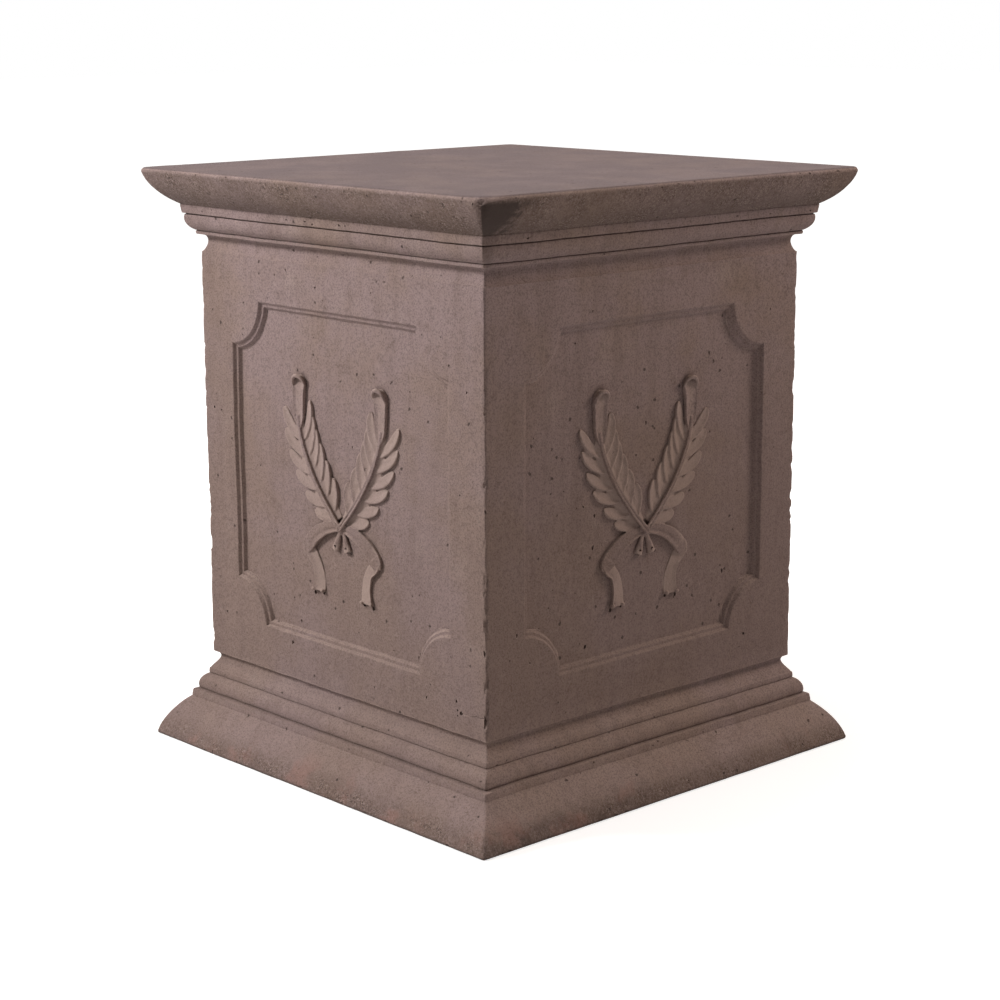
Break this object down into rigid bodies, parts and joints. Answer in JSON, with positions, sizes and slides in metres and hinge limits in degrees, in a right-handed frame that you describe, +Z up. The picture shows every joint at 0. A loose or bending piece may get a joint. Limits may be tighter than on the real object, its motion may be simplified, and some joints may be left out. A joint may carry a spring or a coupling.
{
  "type": "column base pedestal",
  "caption": "Square cast-stone pedestal with a moulded cap and foot and a sunk panel with a crossed laurel motif on each face; carries a column, urn or statue.",
  "frame": {"origin": "middle of the square underside, on the ground", "axes": "+Z up; the four sides face -Y, +X, +Y and -X"},
  "size_m": [0.44, 0.44, 0.508],
  "materials": {
    "cast_stone": "matte brown cast stone with open pores, water streaks, rust-brown stains and chipped edges"
  },
  "bodies": {
    "root": {"pedestal": "cast_stone"}
  },
  "joints": []
}
